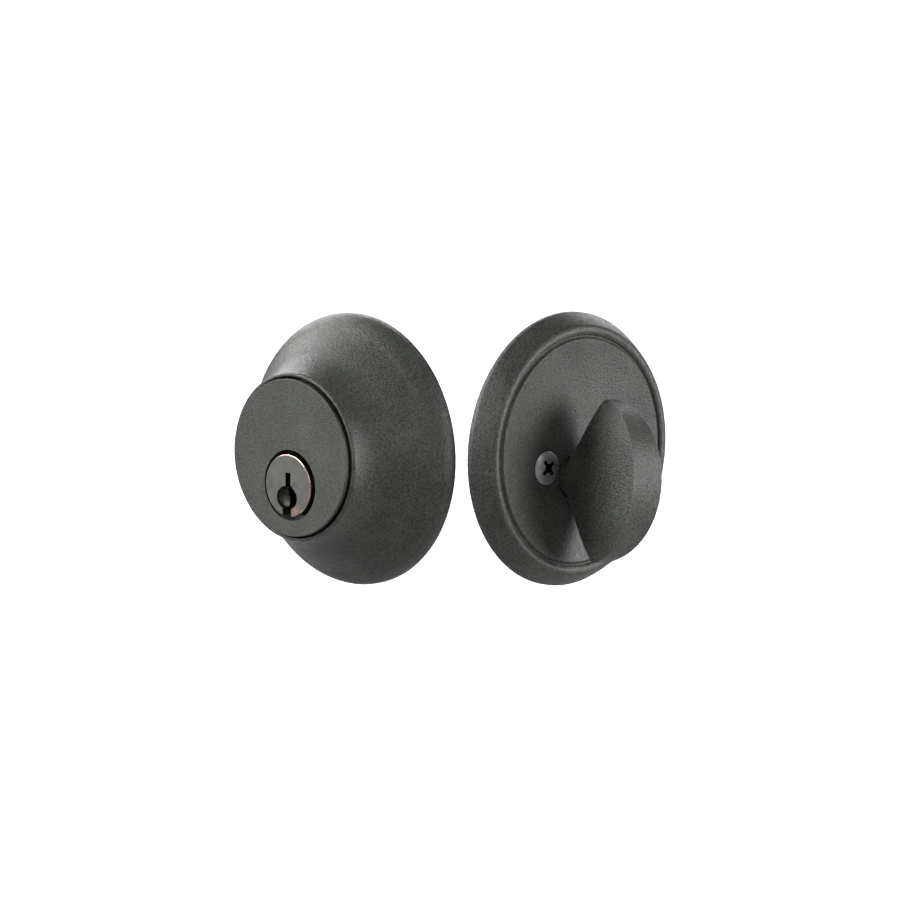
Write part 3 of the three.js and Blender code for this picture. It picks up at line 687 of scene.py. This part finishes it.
def build_tail_cap():
    """The knurled cap that holds the tailpiece on the plug."""
    outline = [(4.95, -5.6, 0.2), (6.2, -5.6, 0.4), (6.2, -10.6, 0.5), (3.9, -10.6, 0.3)]
    outline += [(3.9, -9.6), (5.5, -9.6), (5.5, -7.2), (4.95, -7.2)]
    cap = turned("cap", outline, 120, OUT_DRIVE)
    flutes = []
    for i in range(36):
        place = OUT_DRIVE @ at(0, 0, 0, i * math.pi / 18)
        flutes.append(box("flute", 6.0, 6.6, -0.12, 0.12, -9.9, -6.2, place))
    boolean(cap, [merge("flutes", flutes)])
    cap.name = "knurled_tail_cap"
    fit_out(cap, brass, "plug", "tail_cap", slot="brass")


def build_tailpiece():
    """A flat blade with a round base and the lug that the plug drives."""
    half_thickness = 0.8
    edgeways = OUT_DRIVE @ Matrix.Rotation(math.pi / 2, 4, "Z") @ Matrix.Rotation(math.pi / 2, 4, "X")
    outline = [(-3.2, -8.4), (-3.2, -30, 1.4), (3.2, -30, 1.4), (3.2, -8.4)]
    blade = slab("blade", outline, -half_thickness, half_thickness, edgeways)
    base = turned("base", [(0, -9.3), (5.1, -9.3, 0.2), (5.1, -8.0, 0.2), (0, -8.0)], 96, OUT_DRIVE)
    lug = box("lug", -half_thickness, half_thickness, -3.6, 3.6, -8.2, -6.8, OUT_DRIVE)
    boolean(blade, [base, lug], "UNION")
    # Scored across at three lengths, where it is snapped off for a thinner door.
    diamond = [(-0.22, 0), (0, -0.22), (0.22, 0), (0, 0.22)]
    scores = []
    for z in (-25.6, -21.2, -16.8):
        for side in (-1, 1):
            across = Matrix.Translation((side * 0.83, 0, z)) @ Matrix.Rotation(math.pi / 2, 4, "X")
            scores.append(slab("score", diamond, -4, 4, OUT_DRIVE @ across))
    boolean(blade, [merge("scores", scores)])
    ease(blade, 0.12)
    blade.name = "scored_tailpiece"
    fit_out(blade, zinc, "tail", "tailpiece", slot="zinc_steel")


def build_posts():
    """Posts behind the cylinder, threaded inside for the through bolts."""
    outline = [(0, -6.3), (2.1, -6.5)]
    for i in range(18):
        z = -6.9 - 0.72 * i
        outline += [(2.1, z), (1.78, z - 0.36)]
    outline += [(1.9, -19.6), (2.5, -20), (3.2, -20, 0.5), (3.2, -16.5), (2.95, -16.2), (2.95, -7.6)]
    outline += [(3.2, -7.3), (3.2, -4.3, 0.2), (1.9, -4.3), (1.9, 1, 0.2), (0, 1)]
    for name, side in (("lower", 1), ("upper", -1)):
        post = turned("threaded_post_" + name, outline, 64, OUTSIDE @ at(side * POST_X, -side * POST_Y))
        fit_out(post, brass, "fixed_on_door", "mounting_post_" + name, slot="brass")


# ---- Inside trim ----
def build_rose():
    """A round casting with a sloped flank, a bead, a groove and a dished face."""
    bead_inner = (GROOVE_R + 0.15, BEAD_Z + 0.15)
    outline = [(30.6, 0, 0.2), (ROSE_R, 0, 0.3)]
    outline += bezier((ROSE_R, 1.2), (BEAD_R + 1.5, 3.9), (BEAD_R, BEAD_Z - 0.1), 18)
    outline += bezier((BEAD_R - 0.25, BEAD_Z + 0.1), (BEAD_R - 1.3, BEAD_Z + 0.85), bead_inner, 10)
    outline += [(GROOVE_R, BEAD_Z - 0.1, 0.15), (GROOVE_R - 0.1, GROOVE_Z, 0.12)]
    outline += [(GROOVE_R - 0.35, GROOVE_Z, 0.1), (DISH_EDGE_R, DISH_EDGE_Z - 0.02, 0.3)]
    outline += [(r, dish(r)) for r in (*range(26, 9, -2), 8.5, 7, 5.5, 4, 2.5, 1)]
    outline += [(0, DISH_CENTRE_Z), (0, DISH_CENTRE_Z - ROSE_WALL)]
    outline += [(r, dish(r) - ROSE_WALL) for r in (7, 12, 16, 21, 25)]
    outline += [(28.6, 4.1, 0.5), (30.6, 2.6, 0.5)]
    rose = turned("rose", outline, 256, INSIDE)
    drive = rod("drive", 5.8, -1, 12, (0, -DROP), 96, INSIDE)
    countersink = [(0, -1), (2.4, -1), (2.4, SCREW_TOP - 2.3), (4.6, SCREW_TOP - 0.5)]
    countersink += [(4.6, SCREW_TOP + 4), (0, SCREW_TOP + 4)]
    seats = []
    for side in (-1, 1):
        seats.append(turned("seat", countersink, 72, INSIDE @ at(side * TRIM_SCREW_X, TRIM_SCREW_Y)))
    boolean(rose, [drive, merge("seats", seats)])
    ease(rose, 0.14, 3, 42)
    rose.name = "round_rose"
    fit_out(rose, coat, "fixed_on_door", "interior_rose", slot="textured_black")


def build_thumbturn():
    """An almond seen from the front, a rounded D with a pointed back seen from the side."""
    h = TURN_HALF_HEIGHT
    # A cubic's middle lies three quarters of the way from its ends to its controls.
    fullness = (4 * TURN_HALF_THICKNESS - TURN_TIP) / 3
    crown = TURN_TOP_Z + (TURN_TOP_Z - TURN_TIP_Z) / 3
    right = cubic((TURN_TIP, -h), (fullness, -0.8 * h), (fullness, 0.8 * h), (TURN_TIP, h), 48)
    left = [(-x, -y) for x, y in right]
    place = IN_DRIVE @ at(0, 0, 0, TURN_LEAN)
    paddle = slab("almond", right + left, 0, 40, place)

    shoulder = h - TURN_SHOULDER
    outline = cubic((-h, TURN_TIP_Z), (-shoulder, crown), (shoulder, crown), (h, TURN_TIP_Z), 64)
    back = [(h, TURN_TIP_Z - 0.8), (9, 9.2, 6.0), (3.2, TURN_BACK_Z, 3.0)]
    outline += back + [(-up, *rest) for up, *rest in reversed(back)]
    # On edge, the outline's first axis runs up the paddle and its second out of the door.
    on_edge = Matrix(((0, 0, 1, 0), (1, 0, 0, 0), (0, 1, 0, 0), (0, 0, 0, 1)))
    boolean(paddle, [slab("side", outline, -20, 20, place @ on_edge)], "INTERSECT")
    ease(paddle, 0.95, 7, 30)
    hub = turned("hub", [(0, 3.3), (5.3, 3.3, 0.2), (5.0, 8.0), (0, 9.0)], 96, place)
    boolean(paddle, [hub], "UNION")
    boolean(paddle, [rod("socket", 4.3, 2, 6.2, segments=64, place=place)])
    paddle.name = "thumbturn_paddle"
    fit_out(paddle, coat, "turn", "thumbturn", slot="textured_black")


def build_spindle():
    """The slotted shaft that carries the thumbturn's motion to the tailpiece."""
    place = IN_DRIVE @ at(0, 0, 0, TURN_LEAN)
    outline = [(0, -12), (4.6, -12, 0.5), (4.6, -3.3), (3.9, -3.3), (3.9, -2.3), (4.6, -2.3)]
    outline += [(4.6, 3.0, 0.2), (4.0, 3.2), (4.0, 5.9, 0.3), (0, 5.9)]
    spindle = turned("spindle", outline, 96, place)
    boolean(spindle, [box("slot", -1.15, 1.15, -3.5, 3.5, -13, -3.6, place)])
    ease(spindle, 0.15)
    spindle.name = "slotted_spindle"
    fit_out(spindle, zinc, "turn", "thumbturn_spindle", slot="zinc_steel")


def build_bush():
    """The bearing of the spindle."""
    outline = [(4.9, -1.6, 0.2), (7.9, -1.6, 0.3), (7.9, -0.3, 0.2), (6.5, -0.3)]
    outline += [(6.5, 1.9, 0.3), (4.9, 1.9, 0.2)]
    bush = turned("flanged_bush", outline, 96, IN_DRIVE)
    fit_out(bush, nylon, "fixed_on_door", "nylon_bush", slot="nylon")


def build_spindle_clip():
    """The clip in the spindle's groove."""
    clip = slab("clip", ring_with_gap(4.2, 7.4, 2.2), -3.1, -2.5, IN_DRIVE)
    ease(clip, 0.1)
    clip.name = "spindle_retaining_clip"
    fit_out(clip, spring_wire, "turn", "spindle_clip", slot="spring_steel")


def build_plate():
    """The plate behind the rose, with its holes for the spindle, bolts and screws."""
    plate = turned("plate", [(0, 0), (26, 0, 0.25), (26, 1.5, 0.5), (0, 1.5)], 160, INSIDE)
    screws = [(side * TRIM_SCREW_X, TRIM_SCREW_Y) for side in (-1, 1)]
    boolean(plate, [rod("boss", 3.4, 1.0, 2.2, centre, 48, INSIDE) for centre in screws], "UNION")
    holes = [rod("hub", 6.8, -1, 3, (0, -DROP), 64, INSIDE)]
    holes += [rod("clear", 2.7, -1, 5, (side * POST_X, side * POST_Y), 40, INSIDE) for side in (-1, 1)]
    holes += [rod("tapped", 2.25, -1, 6, centre, 40, INSIDE) for centre in screws]
    for x in (-19, 19):
        outline = [(x - 3, -1.6, 1.5), (x + 3, -1.6, 1.5), (x + 3, 1.6, 1.5), (x - 3, 1.6, 1.5)]
        holes.append(slab("slot", outline, -1, 3, INSIDE))
    boolean(plate, [merge("holes", holes)])
    ease(plate, 0.15)
    plate.name = "stamped_mounting_plate"
    fit_out(plate, zinc, "fixed_on_door", "mounting_plate", slot="zinc_steel")


def cross_recess(reach, width, depth, place):
    """Tool for a cross recess with its mouth at z = 0: two tapered blades and a round core."""
    outline = [(-reach, 0.6), (-reach * 0.94, 0), (-reach * 0.4, -depth)]
    outline += [(reach * 0.4, -depth), (reach * 0.94, 0), (reach, 0.6)]
    blades = []
    for turn in (0, math.pi / 2):
        upright = Matrix.Rotation(turn, 4, "Z") @ Matrix.Rotation(math.pi / 2, 4, "X")
        blades.append(slab("blade", outline, -width / 2, width / 2, place @ upright))
    core_outline = [(0, -depth - 0.3), (reach * 0.28, -depth), (reach * 0.5, 0.6), (0, 0.6)]
    core = turned("core", core_outline, 32, place)
    return boolean(blades[0], [blades[1], core], "UNION")


def paint_screw_recess_shade(screw, place):
    """Gives the sunk faces of a trim screw's head a near-black material, painted shade in the cross recess."""
    screw.data.materials.append(screw_head)
    screw.data.materials.append(screw_recess_painted_shade)
    to_screw = place.inverted()
    for face in screw.data.polygons:
        centre = to_screw @ face.center
        r = math.hypot(centre.x, centre.y)
        dome = SCREW_TOP + 0.62 - 0.67 * (r / 4.15) ** 2.2
        if r < 2.7 and SCREW_TOP - 1.9 < centre.z < dome - 0.12:
            face.material_index = 1


def build_trim_screws():
    """Screws with oval heads that hold the rose to the plate."""
    outline = [(0, SCREW_TOP - 2.4), (1.9, SCREW_TOP - 2.4), (4.15, SCREW_TOP - 0.25, 0.08)]
    outline += bezier((4.15, SCREW_TOP - 0.05), (2.6, SCREW_TOP + 0.62), (0, SCREW_TOP + 0.62), 14)
    for name, side in (("left", -1), ("right", 1)):
        place = INSIDE @ at(side * TRIM_SCREW_X, TRIM_SCREW_Y)
        screw = turned("screw", outline, 96, place)
        recess_place = place @ at(0, 0, SCREW_TOP + 0.5, math.radians(38))
        boolean(screw, [cross_recess(2.5, 0.95, 1.9, recess_place)])
        ease(screw, 0.08, 2, 30)
        boolean(screw, [threaded("shank", 1.95, 0.3, -4.4, SCREW_TOP - 2.3, place)], "UNION")
        screw.name = "oval_head_screw_" + name
        paint_screw_recess_shade(screw, place)
        fit_out(screw, screw_head, "fixed_on_door", "trim_screw_" + name, slot="black_screw")


def build_through_bolts():
    """Long screws from the plate into the posts behind the cylinder."""
    seat = 1.75
    outline = [(0, seat - 0.4), (1.9, seat - 0.4), (1.9, seat), (4.2, seat, 0.1)]
    outline += bezier((4.2, seat + 0.4), (3.2, seat + 0.95), (0, seat + 0.95), 12)
    for name, side in (("lower", -1), ("upper", 1)):
        place = INSIDE @ at(side * POST_X, side * POST_Y)
        head = turned("head", outline, 80, place)
        recess_place = place @ at(0, 0, seat + 0.85, math.radians(20))
        boolean(head, [cross_recess(2.2, 0.9, 1.0, recess_place)])
        boolean(head, [threaded("shank", 1.95, 0.32, -19.2, seat - 0.2, place)], "UNION")
        head.name = "long_machine_screw_" + name
        fit_out(head, zinc, "fixed_on_door", "through_bolt_" + name, slot="zinc_steel")


# ---- Bolt unit ----
def build_bolt():
    """The solid bolt, slotted at its back for the bar and drilled for its two pins."""
    outline = [(0, -36), (9.5, -36, 0.4), (9.5, -0.9, 0.5), (8.6, 0, 0.3), (0, 0)]
    bolt = turned("bolt_body", outline, 160, UNIT_LENGTHWAYS)
    pin_hole = rod("pin_hole", 2.4, -12, 12, SAW_GUARD, 40, UNIT)
    link_hole = rod("link_hole", 1.9, -12, 12, LINK, 32, UNIT)
    bar_slot = box("bar_slot", -37, -28.4, -20, 20, -1.5, 1.5, UNIT)
    boolean(bolt, [pin_hole, link_hole, bar_slot])
    ease(bolt, 0.2)
    bolt.name = "solid_bolt"
    fit_out(bolt, brass, "deadbolt", "bolt", slot="brass")


def build_bolt_pin(name, node, radius, reach, centre):
    """A pin across the bolt, as long on one side of its middle as on the other."""
    outline = [(0, -reach), (radius, -reach, 0.4), (radius, reach, 0.4), (0, reach)]
    pin = turned(name, outline, 48, UNIT @ at(*centre))
    fit_out(pin, steel_hard, "deadbolt", node, slot="hard_steel")


def build_tube():
    """The tube that the bolt runs in, with its seam and stamped dents."""
    outline = [(10, -41.5, 0.2), (11.9, -41.5, 0.4), (11.9, -2.4), (10, -2.4)]
    tube = turned("tube", outline, 160, UNIT_LENGTHWAYS)
    seam = box("seam", -42, -12.5, 11.6, 12.4, -0.12, 0.12, UNIT)
    dent = [(0, 11.3), (0.5, 11.4), (1.1, 11.75), (1.5, 12.3), (0, 12.3)]
    dents = []
    dent_angles = (0.5, 2.64, 3.64, 5.78)  # radians round the tube
    for angle in dent_angles:
        tilt = Matrix.Rotation(angle, 4, "X")
        for x in (-16, -37):
            dents.append(turned("dent", dent, 24, UNIT @ Matrix.Translation((x, 0, 0)) @ tilt))
    boolean(tube, [seam, merge("dents", dents)])
    ease(tube, 0.08)
    tube.name = "bolt_housing_tube"
    fit_out(tube, zinc, "fixed_on_door", "bolt_tube", slot="zinc_steel")


def build_drive_in_collar():
    """The ribbed collar that grips the bore in the door's edge."""
    outline = [(9.8, -2), (9.8, 0, 0.25), (12.2, 0), (12.7, -0.5), (12.7, -3.4), (12.35, -3.8)]
    outline += [(12.35, -12, 0.3), (12.2, -12), (12.2, -2)]
    front = turned("front", outline, 192, UNIT_LENGTHWAYS)
    rib = [(-11.6, 12.3), (-4.4, 12.3), (-4.4, 12.42), (-5.0, 12.68), (-11.0, 12.68), (-11.6, 12.42)]
    ribs = []
    for i in range(48):
        tilt = Matrix.Rotation(i * math.pi / 24, 4, "X")
        ribs.append(slab("rib", rib, -0.28, 0.28, UNIT @ tilt))
    boolean(front, [merge("ribs", ribs)], "UNION")
    front.name = "ribbed_drive_in_collar"
    fit_out(front, brass, "fixed_on_door", "drive_in_collar", slot="brass")


def build_side_plates():
    """The pair of stamped plates that carry the cam."""
    outline = [(-37.4, -7.7, 0.6), (-37.4, 7.7, 0.6), (-43, 7.7, 2), (-46, 15, 2), (-75, 15, 2), (-79, 11, 2)]
    outline += [(-79, -11, 2), (-75, -15, 2), (-46, -15, 2), (-43, -7.7, 2)]
    window = [(-52, 3.4, 1.2), (-52, 6, 1.2), (-68, 6, 1.2), (-68, 3.4, 1.2)]
    for name, z0 in (("near", 4.2), ("far", -5.6)):
        plate = slab("side_plate", outline, z0, z0 + 1.4, UNIT)
        holes = [rod("hub_hole", 5.0, z0 - 1, z0 + 3, (-BACKSET, -DROP), 64, UNIT)]
        holes += [rod("rivet_hole", 1.7, z0 - 1, z0 + 3, centre, 32, UNIT) for centre in RIVETS]
        holes.append(slab("window", window, z0 - 1, z0 + 3, UNIT))
        boolean(plate, [merge("holes", holes)])
        ease(plate, 0.18)
        plate.name = "stamped_side_plate_" + name
        fit_out(plate, zinc, "fixed_on_door", "frame_plate_" + name, slot="zinc_steel")


def build_rivets():
    """Rivets that hold the side plates together."""
    dome = bezier((2.5, 6.1), (2.2, 6.6), (0, 6.6), 8)
    outline = [(r, -z) for r, z in bezier((0, 6.6), (2.2, 6.6), (2.5, 6.1), 8)]
    outline += [(2.5, -5.9), (1.4, -5.9), (1.4, -3.9), (2.6, -3.9, 0.2)]
    outline += [(2.6, 3.9, 0.2), (1.4, 3.9), (1.4, 5.9), (2.5, 5.9)] + dome
    for i, centre in enumerate(RIVETS):
        rivet = turned(f"domed_rivet_{i + 1}", outline, 64, UNIT @ at(*centre))
        fit_out(rivet, zinc, "fixed_on_door", f"frame_rivet_{i + 1}", slot="zinc_steel")


def build_cam():
    """The slotted hub that the tailpiece turns, with the arm and pin that move the bolt bar."""
    place = UNIT @ at(-BACKSET, -DROP)
    outline = [(0, -6.4), (4.7, -6.4, 0.3), (4.7, -3.8), (5.7, -3.8, 0.2), (5.7, 3.8, 0.2), (4.7, 3.8)]
    outline += [(4.7, 6.4, 0.3), (0, 6.4)]
    cam = turned("hub", outline, 96, place)
    outline = [(-3.6, -1), (3.6, -1), (2.3, CAM_ARM), (0, CAM_ARM + 1.9), (-2.3, CAM_ARM)]
    arm = slab("arm", outline, 1.4, 3.6, place @ at(0, 0, 0, -CAM_START))
    pin_centre = (CAM_ARM * math.sin(CAM_START), CAM_ARM * math.cos(CAM_START))
    pin = rod("pin", 1.5, -2.6, 2, pin_centre, 32, place)
    boolean(cam, [arm, pin], "UNION")
    boolean(cam, [box("slot", -1.1, 1.1, -3.5, 3.5, -8, 8, place)])
    ease(cam, 0.15)
    cam.name = "slotted_cam"
    fit_out(cam, steel_hard, "cam", "hub_cam", slot="hard_steel")


def build_bolt_bar():
    """The bar from the cam's pin to the bolt."""
    x = -BACKSET + CAM_ARM * math.sin(CAM_START)  # middle of the slot that the cam's pin runs in
    outline = [(-28.9, 1, 0.5), (-28.9, 8, 1), (-66.4, 8, 1), (x + 4.8, 14, 1), (x - 4.6, 14, 1.5)]
    outline += [(x - 4.6, 2.6, 1), (x + 6, 1, 1)]
    bar = slab("bar", outline, -1, 1, UNIT)
    outline = [(x - 2.3, 3.6, 1.5), (x + 2.3, 3.6, 1.5), (x + 2.3, 12.8, 1.5), (x - 2.3, 12.8, 1.5)]
    boolean(bar, [slab("slot", outline, -2, 2, UNIT), rod("link_hole", 1.9, -2, 2, LINK, 32, UNIT)])
    ease(bar, 0.15)
    bar.name = "slotted_bolt_bar"
    fit_out(bar, steel_hard, "deadbolt", "bolt_bar", slot="hard_steel")


build_collar()
build_guard_ring()
build_housing()
build_plug()
build_plug_clip()
build_tail_cap()
build_tailpiece()
build_posts()
build_rose()
build_thumbturn()
build_spindle()
build_bush()
build_spindle_clip()
build_plate()
build_trim_screws()
build_through_bolts()
build_bolt()
build_bolt_pin("hard_insert_pin", "saw_guard_pin", 2.1, 8.8, SAW_GUARD)
build_bolt_pin("bolt_link_pin", "link_pin", 1.6, 8.0, LINK)
build_tube()
build_drive_in_collar()
build_side_plates()
build_rivets()
build_cam()
build_bolt_bar()

# ---- Camera, lights, floor, in metres ----
CAMERA_AZIMUTH = math.radians(44.06)
CAMERA_ELEVATION = math.radians(7.93)
CAMERA_DISTANCE = 2.5
CAMERA_LENS = 406.0
CAMERA_TARGET = Vector((0.01621, 0.01569, -0.00056))  # what stands in the middle of the picture
FLOOR_Z = -0.9  # well below the lock, which hangs in the air
lit_point = Vector((collar_centre.x, 0, collar_centre.z)).lerp(rose_centre, 0.5)


def direction(azimuth, elevation):
    """Unit vector from the lock; azimuth from its front, to the right."""
    flat = math.cos(elevation)
    return Vector((math.sin(azimuth) * flat, -math.cos(azimuth) * flat, math.sin(elevation)))


def add_camera():
    toward = direction(CAMERA_AZIMUTH, CAMERA_ELEVATION)
    data = bpy.data.cameras.new("camera")
    data.lens = CAMERA_LENS
    data.sensor_width = 36
    data.clip_end = 50
    camera = bpy.data.objects.new("camera", data)
    camera.location = CAMERA_TARGET + toward * CAMERA_DISTANCE
    camera.rotation_euler = toward.to_track_quat("Z", "Y").to_euler()
    bpy.context.scene.collection.objects.link(camera)
    bpy.context.scene.camera = camera


def disk_light(name, size, power, location):
    data = bpy.data.lights.new(name, "AREA")
    data.shape = "DISK"
    data.size = size
    data.energy = power
    light = bpy.data.objects.new(name, data)
    light.location = location
    bpy.context.scene.collection.objects.link(light)
    return light


def soft_light(name, azimuth, elevation, size, power, distance=2.0):
    """A round soft box with a grid, aimed at the lock; azimuth in degrees to the right of the camera."""
    way = direction(CAMERA_AZIMUTH + math.radians(azimuth), math.radians(elevation))
    light = disk_light(name, size, power, lit_point + way * distance)
    light.data.spread = math.radians(50)
    light.rotation_euler = way.to_track_quat("Z", "Y").to_euler()


def overhead_light(name, azimuth, power, distance=7.5, height=2.0, size=8.0):
    """A large soft box that faces down and whitens the floor beyond the lock, clear of its underside."""
    way = direction(CAMERA_AZIMUTH + math.radians(azimuth), 0)
    disk_light(name, size, power, way * distance + Vector((0, 0, height)))


def add_floor():
    far = 40
    corners = [(-far, -far, FLOOR_Z), (far, -far, FLOOR_Z), (far, far, FLOOR_Z), (-far, far, FLOOR_Z)]
    floor = make("floor", corners, [[0, 1, 2, 3]])
    nodes = Nodes("floor_pale")
    tone = nodes.ramp(nodes.noise(400, 2.0), [(0.3, 0.48), (0.7, 0.52)])
    floor.data.materials.append(nodes.finish(tone, None, Roughness=0.9))


def add_world():
    """White where it is seen, dim where it lights the lock, so that the soft boxes shape it."""
    world = bpy.data.worlds.new("studio")
    world.use_nodes = True
    tree = world.node_tree
    strength = tree.nodes.new("ShaderNodeMapRange")
    strength.inputs["To Min"].default_value = 0.1
    strength.inputs["To Max"].default_value = 0.9
    seen = tree.nodes.new("ShaderNodeLightPath").outputs["Is Camera Ray"]
    tree.links.new(seen, strength.inputs["Value"])
    tree.nodes["Background"].inputs["Color"].default_value = (1, 1, 1, 1)
    tree.links.new(strength.outputs["Result"], tree.nodes["Background"].inputs["Strength"])
    bpy.context.scene.world = world
    bpy.context.scene.view_settings.view_transform = "Standard"


add_camera()
soft_light("right_light", 82, 4, 1.3, 3.9)
soft_light("left_light", -74, 28, 1.2, 5.2)
soft_light("edge_light", -135, 35, 1.0, 1.4)
for name, azimuth, power in (("behind", 180, 800), ("front", 0, 260), ("right", 90, 260), ("left", -90, 260)):
    overhead_light("floor_light_" + name, azimuth, power)
add_floor()
add_world()
